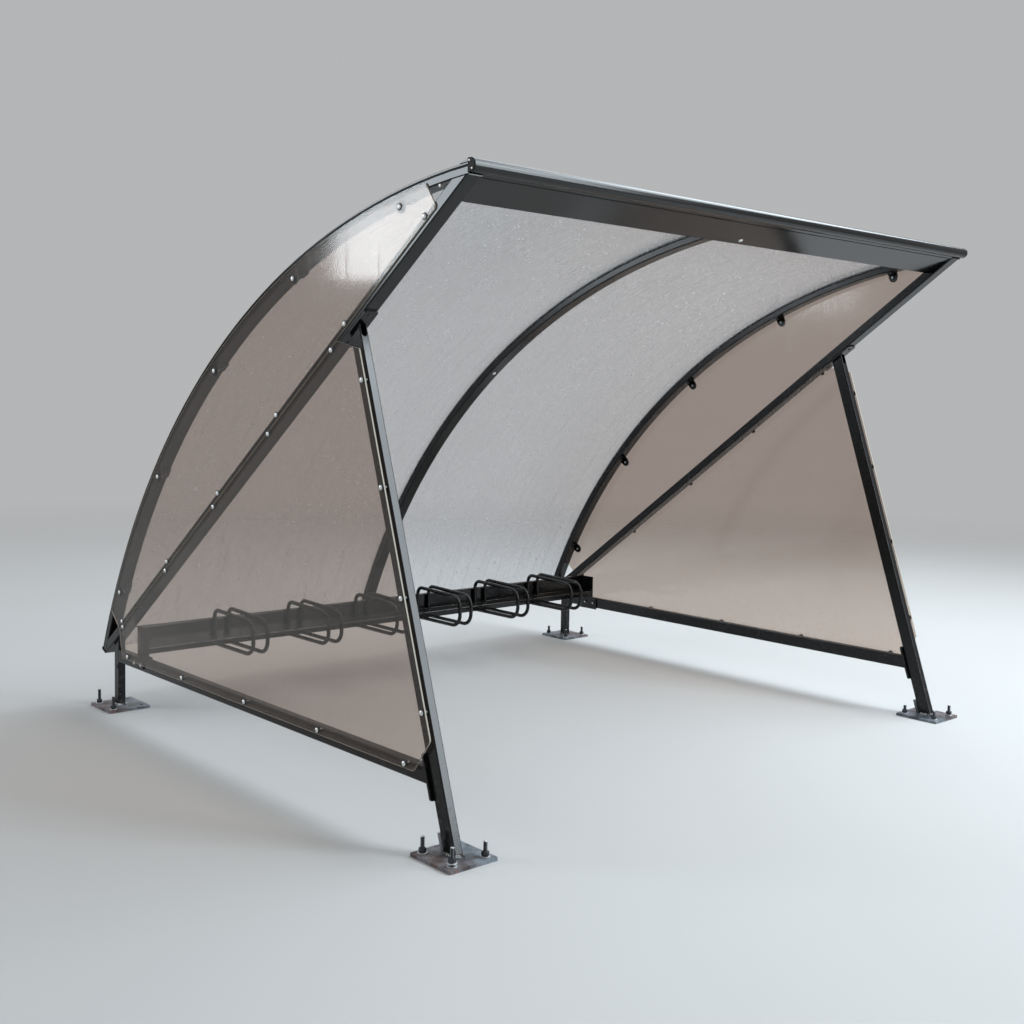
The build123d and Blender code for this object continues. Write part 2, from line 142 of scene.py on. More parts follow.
class Finish:
    """A material and the nodes that make it."""

    def __init__(self, name):
        self.material = bpy.data.materials.new(name)
        self.material.use_nodes = True
        self.tree = self.material.node_tree
        self.tree.nodes.clear()
        self.output = self.tree.nodes.new("ShaderNodeOutputMaterial")
        self.place = self.node("TexCoord", out="Object")

    def node(self, kind, settings=None, sockets=None, out=0):
        """Adds a node with its settings, then its values and links."""
        node = self.tree.nodes.new("ShaderNode" + kind)
        for name, value in (settings or {}).items():
            setattr(node, name, value)
        for name, value in (sockets or {}).items():
            if isinstance(value, Value):
                self.tree.links.new(value.socket, node.inputs[name])
            else:
                node.inputs[name].default_value = value
        return Value(self, node.outputs[out])

    def clamp(self, value):
        return self.node("Clamp", None, {"Value": value})

    def between(self, value, low, high):
        """A smooth step from 0 at low to 1 at high."""
        sockets = {"Value": value, "From Min": low, "From Max": high}
        return self.node("MapRange", {"interpolation_type": "SMOOTHSTEP"}, sockets)

    def noise(self, scale, detail, roughness=0.5, place=None):
        """Cloudy noise from 0 to 1, with scale lumps to a metre."""
        sockets = {"Vector": place or self.place, "Scale": scale, "Detail": detail, "Roughness": roughness}
        return self.node("TexNoise", None, sockets)

    def stretched(self, scales, turn=(0.0, 0.0, 0.0)):
        """The place, turned and then stretched, for streaks."""
        turned = self.node("Mapping", {"vector_type": "POINT"}, {"Vector": self.place, "Rotation": turn})
        return self.node("Mapping", {"vector_type": "POINT"}, {"Vector": turned, "Scale": scales})

    def axis(self, vector, name):
        return self.node("SeparateXYZ", None, {"Vector": vector}, out=name)

    def facing(self, name):
        """How much the surface faces along an axis."""
        return self.axis(self.node("NewGeometry", out="Normal"), name)

    def blend(self, factor, first, second):
        """A colour between two colours."""
        colours = {0: factor, 6: first, 7: second}
        for key in (6, 7):
            if isinstance(colours[key], tuple):
                colours[key] = (*colours[key], 1.0)
        return self.node("Mix", {"data_type": "RGBA"}, colours, out=2)

    def bump(self, height, distance):
        return self.node("Bump", None, {"Height": height, "Distance": distance})

    def surface(self, sockets):
        """The main shader, with its sockets set or linked."""
        return self.node("BsdfPrincipled", None, sockets)

    def close(self, shader):
        self.tree.links.new(shader.socket, self.output.inputs["Surface"])
        return self.material

    def close_clear(self, tint, factor, shader):
        """Mixes a tinted clear shader with the surface by a factor."""
        clear = self.node("BsdfTransparent", None, {"Color": (*tint, 1.0)})
        return self.close(self.node("MixShader", None, {0: factor, 1: clear, 2: shader}))


def grime_by_height(make, low, high):
    """Splashed dirt, thick near the ground and gone above."""
    height = make.axis(make.place, "Z")
    fade = 1.0 - make.between(height, low, high)
    speckle = make.between(make.noise(55.0, 3.0, 0.7), 0.5, 0.72)
    return fade * speckle


def powder_coat(name, colour, dust_colour, gloss):
    """Black gloss powder coat with an orange-peel skin, dust on top faces and splashes low down."""
    make = Finish(name)
    broad = make.noise(2.6, 2.0, 0.6)
    patch = make.noise(38.0, 3.0, 0.65)
    settled = make.between(make.facing("Z"), 0.25, 0.95) * make.between(patch + broad * 0.6, 0.55, 1.05)
    splash = grime_by_height(make, 0.02, 0.42)
    dust = make.clamp(settled * 0.16 + splash * 0.2)
    rough = gloss + broad * 0.05 + dust * 0.4
    skin = make.bump(make.noise(420.0, 1.0), 0.00006)
    return make.close(
        make.surface(
            {
                "Base Color": make.blend(dust, colour, dust_colour),
                "Roughness": make.clamp(rough),
                "Normal": skin,
                "IOR": 1.4,
            }
        )
    )


def weathered_plate_with_painted_sheen():
    """Base plate coat mottled dark and blue-grey, the blue-grey being a painted sky sheen, and worn to
    rust-brown towards the outer edge.
    """
    make = Finish("weathered plate coat")
    fine = make.noise(120.0, 6.0, 0.7)
    broad = make.noise(14.0, 5.0, 0.6)
    flakes = make.between(make.noise(34.0, 9.0, 0.72), 0.5, 0.6)
    outward = abs(make.axis(make.place, "X")) - frame_half
    rusted_over = 0.14
    worn = make.between(outward + broad * 0.12, 0.0, rusted_over)
    rust = make.clamp((flakes * 0.5 + 0.45) * worn + make.between(fine, 0.55, 0.75) * 0.25)
    # Dark coat mottled with blue-grey patches, a painted sheen of sky light
    coat = make.blend(make.between(broad, 0.36, 0.64), (0.025, 0.031, 0.04), (0.2, 0.24, 0.28))
    stain = make.blend(make.between(fine, 0.34, 0.66), (0.05, 0.02, 0.014), (0.26, 0.135, 0.095))
    grit = make.between(make.noise(260.0, 3.0, 0.6), 0.6, 0.72)
    colour = make.blend(rust * 0.8, coat, stain)
    colour = make.blend(grit * 0.5, colour, (0.36, 0.34, 0.31))
    rough = 0.26 + rust * 0.35 + grit * 0.2 + broad * 0.08
    skin = make.bump(fine + flakes * 0.6, 0.0005)
    return make.close(
        make.surface({"Base Color": colour, "Roughness": make.clamp(rough), "Normal": skin, "IOR": 1.5})
    )


def sheet_gloss(make):
    """How much of a clear sheet mirrors, more at a low angle, the same from both sides."""
    face_on = 0.04
    edge_on = 0.9
    slant = make.node("LayerWeight", None, {"Blend": 0.5}, out="Facing")
    return face_on + slant**5.0 * edge_on


# What a clear sheet mirrors keeps nearly all its light
mirror_white = (0.93, 0.93, 0.93)


def smoked_sheet():
    """Bronze-tinted clear sheet with a dusty film, drips, specks, splashes low down and pale sawn edges."""
    tint = (0.79, 0.72, 0.675)
    dust_colour = (0.42, 0.38, 0.33)
    edge_colour = (0.36, 0.335, 0.27)
    make = Finish("smoked clear sheet")
    mirror = sheet_gloss(make)
    edge = 1.0 - make.between(abs(make.facing("X")), 0.3, 0.7)
    drips = make.noise(9.0, 2.0, 0.6, make.stretched((1.0, 6.0, 0.35)))
    drips = make.between(drips, 0.58, 0.78)
    film = make.noise(1.9, 2.0, 0.6)
    specks = make.between(make.noise(190.0, 2.0, 0.5), 0.7, 0.78)
    low = 1.0 - make.between(make.axis(make.place, "Z"), 0.2, 0.62)
    splash = make.between(make.noise(75.0, 3.0, 0.7), 0.52, 0.75) * low
    dust = drips * 0.012 + film * 0.006 + specks * 0.15 + splash * 0.05
    solid = make.clamp(dust + edge * 0.85)
    share = make.clamp(mirror + solid)
    metal = make.clamp(mirror / (mirror + solid))
    colour = make.blend(edge, dust_colour, edge_colour)
    colour = make.blend(metal, colour, mirror_white)
    rough = 0.55 - metal * 0.49
    surface = make.surface({"Base Color": colour, "Metallic": metal, "Roughness": rough})
    return make.close_clear(tint, share, surface)


def clear_roof():
    """Clear sheet gone hazy, with fine diagonal scratches, white specks and streaks of dirt."""
    tint = (0.95, 0.95, 0.955)
    film_colour = (0.6, 0.59, 0.62)
    speck_colour = (0.86, 0.86, 0.88)
    make = Finish("clear roof sheet")
    mirror = sheet_gloss(make)
    scratch_a = make.noise(30.0, 2.0, 0.5, make.stretched((22.0, 0.7, 0.7), (0.0, 0.5, 0.55)))
    scratch_b = make.noise(26.0, 2.0, 0.5, make.stretched((20.0, 0.6, 0.6), (0.0, -0.4, -0.7)))
    scratches = make.between(scratch_a, 0.66, 0.74) + make.between(scratch_b, 0.68, 0.76)
    specks = make.between(make.noise(85.0, 2.0, 0.5), 0.695, 0.745)
    spots = make.between(make.noise(24.0, 3.0, 0.6), 0.68, 0.76)
    film = make.noise(1.4, 3.0, 0.65)
    streaks = make.between(make.noise(7.0, 2.0, 0.6, make.stretched((5.0, 0.4, 0.4))), 0.45, 0.8)
    solid = make.clamp(0.04 + film * 0.09 + streaks * 0.08 + scratches * 0.3 + specks * 0.75 + spots * 0.35)
    share = make.clamp(mirror + solid)
    metal = make.clamp(mirror / (mirror + solid))
    colour = make.blend(make.clamp(film + specks + spots), film_colour, speck_colour)
    colour = make.blend(metal, colour, mirror_white)
    rough = 0.6 - metal * 0.5
    surface = make.surface({"Base Color": colour, "Metallic": metal, "Roughness": rough})
    return make.close_clear(tint, share, surface)


def moulded_black():
    """Black moulded plastic for the end caps."""
    make = Finish("black moulded plastic")
    grain = make.noise(900.0, 3.0, 0.6)
    chalk = make.between(make.noise(30.0, 6.0, 0.7), 0.55, 0.8)
    colour = make.blend(chalk * 0.4, (0.004, 0.004, 0.0045), (0.03, 0.03, 0.03))
    skin = make.bump(grain, 0.0001)
    rough = 0.5 + chalk * 0.2
    return make.close(
        make.surface({"Base Color": colour, "Roughness": rough, "Normal": skin, "Specular IOR Level": 0.15})
    )


def gasket_rubber():
    """Matt black rubber along the edges of the roof sheets."""
    make = Finish("black gasket rubber")
    bloom = make.between(make.noise(60.0, 5.0, 0.7), 0.5, 0.8)
    colour = make.blend(bloom * 0.6, (0.006, 0.006, 0.006), (0.03, 0.029, 0.028))
    rough = 0.75 + bloom * 0.15
    skin = make.bump(bloom, 0.0002)
    return make.close(make.surface({"Base Color": colour, "Roughness": rough, "Normal": skin}))


def bright_steel():
    """Turned stainless steel of the panel screws."""
    make = Finish("bright stainless steel")
    haze = make.noise(240.0, 4.0, 0.6)
    colour = make.blend(haze, (0.8, 0.8, 0.79), (0.92, 0.92, 0.91))
    rough = 0.22 + haze * 0.2
    skin = make.bump(haze, 0.00005)
    return make.close(
        make.surface({"Base Color": colour, "Metallic": 1.0, "Roughness": rough, "Normal": skin})
    )


def zinc_plating(name, dark, light):
    """Plated steel of the anchors and frame bolts, spotted with rust."""
    make = Finish(name)
    haze = make.noise(170.0, 6.0, 0.7)
    spots = make.between(make.noise(420.0, 3.0, 0.6), 0.6, 0.72)
    colour = make.blend(haze, dark, light)
    colour = make.blend(spots * 0.4, colour, (0.3, 0.2, 0.13))
    rough = 0.28 + haze * 0.25 + spots * 0.2
    skin = make.bump(haze, 0.0002)
    return make.close(
        make.surface(
            {"Base Color": colour, "Metallic": 0.9 - spots * 0.6, "Roughness": rough, "Normal": skin}
        )
    )


def weld_metal():
    """Bare ground weld metal that shows through the coat."""
    make = Finish("rough weld metal")
    lumps = make.noise(320.0, 5.0, 0.7)
    bare = make.between(make.noise(85.0, 5.0, 0.7), 0.46, 0.58)
    colour = make.blend(bare, (0.05, 0.052, 0.055), (0.66, 0.67, 0.66))
    rough = 0.3 + lumps * 0.35
    skin = make.bump(lumps, 0.0006)
    return make.close(
        make.surface({"Base Color": colour, "Metallic": bare * 0.8, "Roughness": rough, "Normal": skin})
    )


def washer_black():
    """Black nylon washers under the panel screws."""
    make = Finish("black nylon washer")
    wear = make.between(make.noise(300.0, 4.0, 0.6), 0.5, 0.8)
    colour = make.blend(wear, (0.01, 0.01, 0.011), (0.04, 0.04, 0.042))
    rough = 0.45 + wear * 0.2
    skin = make.bump(wear, 0.0001)
    return make.close(make.surface({"Base Color": colour, "Roughness": rough, "Normal": skin}))


def pale_floor(reach):
    """Pale matt floor that fades out before its edge."""
    fade_start = reach * 0.14
    fade_end = reach * 0.5
    make = Finish("pale studio floor")
    from_middle = make.node("VectorMath", {"operation": "LENGTH"}, {0: make.place}, out="Value")
    fade = make.between(from_middle, fade_start, fade_end)
    tone = make.noise(0.6, 1.0)
    colour = make.blend(tone, (0.52, 0.52, 0.515), (0.56, 0.56, 0.555))
    surface = make.surface({"Base Color": colour, "Roughness": 0.85, "Specular IOR Level": 0.2})
    clear = make.node("BsdfTransparent")
    return make.close(make.node("MixShader", None, {0: fade, 1: surface, 2: clear}))


coat = powder_coat("black powder coat", (0.003, 0.0032, 0.0036), (0.17, 0.165, 0.155), 0.15)
# The racks' lighter dust colour is partly real dust and partly a painted sky sheen
rack_coat_dust_and_sheen = powder_coat("rubbed rack coat", (0.003, 0.0032, 0.0035), (0.2, 0.195, 0.185), 0.17)
plate_coat_with_painted_sheen = weathered_plate_with_painted_sheen()
panel_finish = smoked_sheet()
roof_finish = clear_roof()
plastic = moulded_black()
rubber = gasket_rubber()
bright = bright_steel()
zinc = zinc_plating("dark zinc plating", (0.02, 0.021, 0.024), (0.1, 0.105, 0.115))
# The pale zinc is the anchor washers' bright plating, and a painted glint on the stud tips and bolt tails
pale_zinc_and_painted_glint = zinc_plating("bright zinc plating", (0.5, 0.52, 0.54), (0.8, 0.81, 0.82))
weld = weld_metal()
nylon = washer_black()

# Finishes of the carried-over pieces, by the record's slots
slot_finish = {
    "black_paint": coat,
    "plate_paint": plate_coat_with_painted_sheen,
    "smoked_panel": panel_finish,
    "clear_roof": roof_finish,
    "black_trim": plastic,
}
for entry in frame["record"]["subparts"]:
    node = frame["nodes"][entry["node"]]
    node.data.materials.clear()
    finish = slot_finish[entry["material_slot"]]
    if entry["node"].startswith("wheel_rack"):
        finish = rack_coat_dust_and_sheen
    node.data.materials.append(finish)


# Modelling helpers


def primitive(kind, **options):
    """Adds a primitive with nothing else selected."""
    bpy.ops.object.select_all(action="DESELECT")
    getattr(bpy.ops.mesh, f"primitive_{kind}_add")(**options)
    return bpy.context.object


def choose_faces(piece, wanted):
    """Goes to edit mode with only the wanted faces selected."""
    bpy.ops.object.mode_set(mode="EDIT")
    bpy.ops.mesh.select_mode(type="FACE")
    bpy.ops.mesh.select_all(action="DESELECT")
    bpy.ops.object.mode_set(mode="OBJECT")
    for face in piece.data.polygons:
        face.select = wanted(face)
    bpy.ops.object.mode_set(mode="EDIT")


def raise_faces(rise, scale=1.0):
    """Extrudes the chosen faces up, then scales them in the XY plane."""
    bpy.ops.mesh.extrude_region_move(TRANSFORM_OT_translate={"value": (0, 0, rise)})
    bpy.ops.transform.resize(value=(scale, scale, 1.0))


def leave(piece, finish, smooth=True):
    """Leaves edit mode and gives the piece its finish."""
    bpy.ops.object.mode_set(mode="OBJECT")
    piece.data.materials.clear()
    piece.data.materials.append(finish)
    if smooth:
        bpy.ops.object.shade_smooth_by_angle(angle=radians(35))
    return piece


def bevel_all(piece, width):
    """Rounds all sharp edges of a piece."""
    bevel = piece.modifiers.new("edges", "BEVEL")
    bevel.width = width
    bevel.segments = 2
    bevel.limit_method = "ANGLE"
    bevel.angle_limit = radians(30)
    bpy.ops.object.modifier_apply(modifier=bevel.name)


def top_face(face):
    """True for a face that looks up."""
    return face.normal.z > 0.9


def dome_screw():
    """A domed screw head with a hexagon socket, its seat at the origin."""
    radius = 0.0076
    rim = 0.0009
    rise = 0.0038
    dome = radians(68)
    steps = 5
    socket_radius = 0.0023
    socket_depth = 0.006
    top = (0, 0, rim + rise)
    head = primitive("cylinder", vertices=24, radius=radius, depth=rim, location=(0, 0, rim / 2))
    choose_faces(head, top_face)
    before = 1.0
    for step in range(1, steps + 1):
        turn = step / steps * dome
        after = cos(turn)
        raise_faces(rise * (sin(turn) - sin(turn - dome / steps)), after / before)
        before = after
    bpy.ops.object.mode_set(mode="OBJECT")
    socket = primitive("cylinder", vertices=6, radius=socket_radius, depth=socket_depth, location=top)
    bpy.ops.object.select_all(action="DESELECT")
    head.select_set(True)
    bpy.context.view_layer.objects.active = head
    cut = head.modifiers.new("socket", "BOOLEAN")
    cut.operation = "DIFFERENCE"
    cut.object = socket
    bpy.ops.object.modifier_apply(modifier=cut.name)
    bpy.data.objects.remove(socket)
    return leave(head, bright)


def flat_washer(inner, outer, thick, finish):
    """A round washer with softened rims, its seat at the origin."""
    ring = primitive("cylinder", vertices=28, radius=outer, depth=thick, location=(0, 0, thick / 2))
    choose_faces(ring, lambda face: abs(face.normal.z) > 0.9)
    bpy.ops.mesh.inset(thickness=outer - inner)
    bpy.ops.mesh.bridge_edge_loops()
    bpy.ops.object.mode_set(mode="OBJECT")
    bevel_all(ring, thick * 0.2)
    return leave(ring, finish)


def hexagon(across, high, finish, crown=0.12):
    """A nut or bolt head with chamfered corners, its seat at the origin."""
    radius = across / sqrt(3)
    block = primitive("cylinder", vertices=6, radius=radius, depth=high, location=(0, 0, high / 2))
    choose_faces(block, top_face)
    bpy.ops.mesh.inset(thickness=across * crown * 0.5)
    bpy.ops.transform.translate(value=(0, 0, across * crown * 0.3))
    bpy.ops.object.mode_set(mode="OBJECT")
    bevel_all(block, across * 0.03)
    return leave(block, finish)


def threaded_stud(radius, tall, pitch, finish):
    """A threaded rod with a pointed end, standing at the origin."""
    root = 0.9
    plain = 0.002
    point = 0.0015
    unthreaded = 0.005
    rod = primitive("cylinder", vertices=16, radius=radius, depth=plain, location=(0, 0, plain / 2))
    choose_faces(rod, top_face)
    for turn in range(int((tall - unthreaded) / pitch)):
        raise_faces(pitch / 2, root)
        raise_faces(pitch / 2, 1 / root)
    raise_faces(point, 0.72)
    return leave(rod, finish, smooth=False)


def stood(master, seat, out, spin=0.0, grow=1.0):
    """A copy of a master with its own mesh, seated at a point and facing out."""
    copy = master.copy()
    copy.data = master.data.copy()
    bpy.context.scene.collection.objects.link(copy)
    turn = Vector(out).to_track_quat("Z", "Y").to_matrix().to_4x4()
    copy.data.transform(
        Matrix.Translation(seat) @ turn @ Matrix.Rotation(spin, 4, "Z") @ Matrix.Scale(grow, 4)
    )
    return copy


def piece_of(name, parts):
    """Joins parts into one named piece that rides with the shelter."""
    bpy.ops.object.select_all(action="DESELECT")
    for part in parts:
        part.select_set(True)
    bpy.context.view_layer.objects.active = parts[0]
    if len(parts) > 1:
        bpy.ops.object.join()
    piece = parts[0]
    piece.name = name
    piece.data.name = name
    bpy.ops.object.transform_apply(location=True, rotation=True, scale=True)
    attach(piece, "root")


def drop(*masters):
    """Removes masters once their copies are made."""
    for master in masters:
        bpy.data.objects.remove(master)


# Anchors: a stud, nut and washer in all but two of the base plates' holes
stud_radius = 0.006
stud_pitch = 0.00175
tip_radius = 0.0052
tip_rim = 0.0006
tip_rise = 0.0012
washer_radius = 0.0145
washer_thick = 0.003
nut_across = 0.0195
nut_high = 0.0125
anchor_washer = flat_washer(stud_radius, washer_radius, washer_thick, pale_zinc_and_painted_glint)
anchor_nut = hexagon(nut_across, nut_high, zinc)
# Each stud carries a pale zinc tip cap, a painted glint of light on its chamfered end
stud_tip_painted_glint = primitive("cylinder", vertices=16, radius=tip_radius, depth=tip_rim, location=(0, 0, tip_rim / 2))
choose_faces(stud_tip_painted_glint, top_face)
raise_faces(tip_rise, 0.75)
leave(stud_tip_painted_glint, pale_zinc_and_painted_glint)
chance = random.Random(11)

# Each anchor is named by its plate and its side across and along
missing_anchors = (("back_left", 1, -1), ("back_left", 1, 1))
stud_tall = {
    ("front_left", -1, -1): 0.055,
    ("front_left", -1, 1): 0.050,
    ("front_left", 1, -1): 0.046,
    ("back_left", -1, -1): 0.053,
    ("back_left", -1, 1): 0.058,
}
shortest_stud = 0.036
longest_stud = 0.047
loose_anchor = ("front_left", -1, -1)
loose_nut_lift = 0.009
loose_washer_tilt = (0.03, 0.02, 1)
up = (0, 0, 1)
for mount in frame["record"]["mounts"]:
    if mount["kind"] != "bolt_pattern":
        continue
    plate = mount["name"].replace("anchors_", "")
    middle = Vector(mount["pos_m"])
    reach_x = mount["dims"]["spacing_x_mm"] / 2000
    reach_y = mount["dims"]["spacing_y_mm"] / 2000
    parts = []
    for across in (-1, 1):
        for along in (-1, 1):
            anchor = (plate, across, along)
            if anchor in missing_anchors:
                continue
            seat = Vector((middle.x + across * reach_x, middle.y + along * reach_y, plate_top))
            tall = stud_tall.get(anchor, chance.uniform(shortest_stud, longest_stud))
            stud = threaded_stud(stud_radius, tall, stud_pitch, zinc)
            parts.append(stood(stud, seat, up, chance.uniform(0, pi)))
            parts.append(stood(stud_tip_painted_glint, seat + Vector((0, 0, stud.dimensions.z)), up))
            drop(stud)
            parts.append(stood(anchor_washer, seat, up))
            nut_seat = seat + Vector((0, 0, washer_thick))
            if anchor == loose_anchor:
                lift = Vector((0, 0, loose_nut_lift))
                parts.append(stood(anchor_washer, seat + lift, loose_washer_tilt))
                nut_seat += lift
            parts.append(stood(anchor_nut, nut_seat, up, chance.uniform(0, pi)))
    piece_of(f"anchors_{plate}", parts)
drop(anchor_washer, anchor_nut, stud_tip_painted_glint)

# Panel screws on black washers, on the outer faces of the side panels
screw_head = dome_screw()
screw_radius = 0.004
screw_washer_radius = 0.0108
screw_washer_thick = 0.0015
screw_washer = flat_washer(screw_radius, screw_washer_radius, screw_washer_thick, nylon)
screw_stand = 0.0014
screw_tilt = 0.02
leg_screw_low = 0.389
leg_screw_pitch = 0.309
leg_screw_inset = 0.014
rail_screw_first = 0.193
rail_screw_pitch = 0.45
rail_screw_drop = 0.008
rail_screw_z = rail_low + 2 * tube_half - rail_screw_drop
upper_screw_first = 0.134
upper_screw_pitch = 0.3815
upper_screw_height = 0.026
lower_screw_first = 0.585
lower_screw_pitch = 0.3625
lower_screw_height = 0.005
tab_bolt_inset = 0.02
tab_bolt_radius = arch_radius - tab_bolt_inset
tab_first_turn = radians(79.6)
tab_step = radians(12.87)
tab_turns = [tab_first_turn - tab_step * step for step in range(5)]


def leg_front(z):
    """Front face of a leg at height z."""
    return leg_foot_y - tube_half / cos(lean) + z * tan(lean)


screw_spots = []
for step in range(6):
    y = upper_screw_first + upper_screw_pitch * step
    screw_spots.append((y, on_diagonal(y, upper_screw_height)))
for step in range(5):
    y = lower_screw_first + lower_screw_pitch * step
    screw_spots.append((y, on_diagonal(y, lower_screw_height)))
for step in range(4):
    z = leg_screw_low + leg_screw_pitch * step
    screw_spots.append((leg_front(z) + leg_screw_inset / cos(lean), z))
for step in range(5):
    screw_spots.append((rail_screw_first + rail_screw_pitch * step, rail_screw_z))
for turn in tab_turns:
    screw_spots.append(
        (arch_centre_y + tab_bolt_radius * cos(turn), arch_centre_z + tab_bolt_radius * sin(turn))
    )
for side, sign in sides:
    parts = []
    for y, z in screw_spots:
        seat = spot(sign * panel_outer, y, z)
        head_seat = seat + Vector((sign * screw_stand, 0, 0))
        out = (sign, chance.uniform(-screw_tilt, screw_tilt), chance.uniform(-screw_tilt, screw_tilt))
        parts.append(stood(screw_washer, seat, (sign, 0, 0)))
        parts.append(stood(screw_head, head_seat, out, chance.uniform(0, pi)))
    piece_of(f"panel_screws_{side}", parts)
drop(screw_washer)

# Frame bolts with nuts and washers
bolt_radius = 0.004
bolt_pitch = 0.00125
bolt_across = 0.013
bolt_head_high = 0.0055
bolt_nut_high = 0.0065
bolt_tail_long = 0.011
bolt_hole_radius = 0.0045
bolt_washer_radius = 0.0095
bolt_washer_thick = 0.0016
bolt_washer = flat_washer(bolt_hole_radius, bolt_washer_radius, bolt_washer_thick, zinc)
bolt_head = hexagon(bolt_across, bolt_head_high, zinc)
bolt_nut = hexagon(bolt_across, bolt_nut_high, zinc, crown=0.08)
# The bolt tails are pale zinc, a painted glint where they stand out of the nuts
bolt_tail_painted_glint = threaded_stud(bolt_radius, bolt_tail_long, bolt_pitch, pale_zinc_and_painted_glint)


def bolt_end(seat, out, nut=False):
    """A washer with a bolt head, or a nut and the bolt's tail, on a face."""
    out = Vector(out).normalized()
    parts = [stood(bolt_washer, seat, out)]
    over = Vector(seat) + out * bolt_washer_thick
    spin = chance.uniform(0, pi)
    if nut:
        parts.append(stood(bolt_nut, over, out, spin))
        parts.append(stood(bolt_tail_painted_glint, over, out))
    else:
        parts.append(stood(bolt_head, over, out, spin))
    return parts


def leg_meets_diagonal(height):
    """Where the leg's middle line meets a line along the diagonal."""
    z = on_diagonal(leg_foot_y, height) / (1 + tan(lean) * tan(slope))
    return leg_foot_y + z * tan(lean), z


head_flange_thick = 0.006
head_bolt_half = 0.0645
head_y, head_z = leg_meets_diagonal(-head_flange_thick)
down = (0, -sin(slope), -cos(slope))
rail_flange_low = 0.146
rail_flange_long = 0.135
rail_flange_thick = 0.008
rail_bolt_inset = 0.015
rail_bolt_half = rail_flange_long / 2 - rail_bolt_inset
end_plate_thick = 0.006
backing_thick = 0.005
end_bolt_forward = 0.071
end_bolt_y = beam_web_y - end_bolt_forward
end_bolt_z = rail_low + tube_half
end_bolt_half = 0.0285
post_bolt_forward = 0.008
post_bolt_z = 0.163
tab_thick = 0.004
tab_bolt_aside = 0.006
cap_thick = 0.004
cap_screw_in = 0.008
cap_screw_spots = ((-0.0515, nose_top - cap_screw_in), (-0.0625, nose_low + cap_screw_in))
cap_screw_size = 0.42
arch_screw_spot = (0.075, 1.8395)
arch_screw_size = 0.65
for side, sign in sides:
    x = sign * frame_half
    thin_face = sign * (frame_half + thin_half)
    tube_face = sign * (frame_half + tube_half)
    backing_face = sign * (frame_half + thin_half + backing_thick)
    end_plate_face = sign * (frame_half - thin_half - end_plate_thick)
    tab_face = sign * (frame_half + tube_half - tab_thick)
    cap_face = sign * (frame_half + tube_half + cap_thick)
    out = (sign, 0, 0)
    inward = (-sign, 0, 0)
    parts = []
    for way in (-1, 1):
        y = head_y + way * head_bolt_half * cos(slope)
        z = head_z - way * head_bolt_half * sin(slope)
        parts += bolt_end(spot(x, y, z), down)
        z = rail_flange_low + (rail_flange_long / 2 + way * rail_bolt_half) * cos(lean)
        y = leg_foot_y + (tube_half + rail_flange_thick * cos(lean) ** 2) / cos(lean) + z * tan(lean)
        parts += bolt_end(spot(x, y, z), (0, cos(lean), -sin(lean)))
        y = end_bolt_y + way * end_bolt_half
        parts += bolt_end(spot(end_plate_face, y, end_bolt_z), inward, nut=True)
        parts.append(stood(screw_head, spot(backing_face, y, end_bolt_z), out, chance.uniform(0, pi)))
    parts += bolt_end(spot(thin_face, post_y - post_bolt_forward, post_bolt_z), out)
    for turn in tab_turns:
        seat = on_arch(x - sign * tab_bolt_aside, arch_radius - tab_thick, turn)
        parts += bolt_end(seat, (0, -cos(turn), -sin(turn)))
        parts += bolt_end(on_arch(tab_face, tab_bolt_radius, turn), inward, nut=True)
    for y, z in cap_screw_spots:
        parts.append(stood(screw_head, spot(cap_face, y, z), out, chance.uniform(0, pi), cap_screw_size))
    parts.append(stood(screw_head, spot(tube_face, *arch_screw_spot), out, grow=arch_screw_size))
    piece_of(f"frame_bolts_{side}", parts)

# Bolts of the middle arch and the eave, seen from below
arch_bolt_turn = radians(54.2)
eave_drop = 0.055
eave_back = 0.075
eave_fall = eave_drop / (eave_back - nose_back)
eave_bolt_y = 0.055
eave_bolt_z = nose_low - (eave_bolt_y - nose_back) * eave_fall
under_arch = (0, -cos(arch_bolt_turn), -sin(arch_bolt_turn))
under_eave = (0, -eave_fall, -1)
arch_bolt = stood(screw_head, on_arch(0.0, arch_radius, arch_bolt_turn), under_arch)
eave_bolt = stood(screw_head, spot(0.0, eave_bolt_y, eave_bolt_z), under_eave)
piece_of("middle_bolts", [arch_bolt, eave_bolt])

# Screws that hold the strips down along the arches
strip_stand = 0.009
strip_top = arch_radius + arch_deep + strip_stand
strip_screw_count = 6
strip_first_turn = radians(28.0)
strip_step = radians(10.6)
for place, x in (("left", -frame_half), ("middle", 0.0), ("right", frame_half)):
    parts = []
    for step in range(strip_screw_count):
        turn = strip_first_turn + strip_step * step
        out = (0, cos(turn), sin(turn))
        parts.append(stood(screw_head, on_arch(x, strip_top, turn), out, chance.uniform(0, pi)))
    piece_of(f"strip_screws_{place}", parts)

drop(screw_head, bolt_washer, bolt_head, bolt_nut, bolt_tail_painted_glint)


def weld_bead(long, radius):
    """A rippled bead of weld metal, standing at the origin."""
    start = 0.0006
    ripple = 0.0022
    size = 0.7
    bead = primitive("cylinder", vertices=12, radius=radius * size, depth=start, location=(0, 0, start / 2))
    choose_faces(bead, top_face)
    for step in range(int(long / ripple)):
        for next_size in (chance.uniform(1.0, 1.18), chance.uniform(0.82, 0.94)):
            raise_faces(ripple / 2, next_size / size)
            size = next_size
    raise_faces(ripple / 2, 0.6)
    return leave(bead, weld)


def welded(start_x, start_y, end_x, end_y, radius=0.0055):
    """A bead of weld along a plate's top, from one place to another."""
    start = spot(start_x, start_y, plate_top)
    along = spot(end_x, end_y, plate_top) - start
    master = weld_bead(along.length, radius)
    bead = stood(master, start, along, chance.uniform(0, pi))
    drop(master)
    return bead


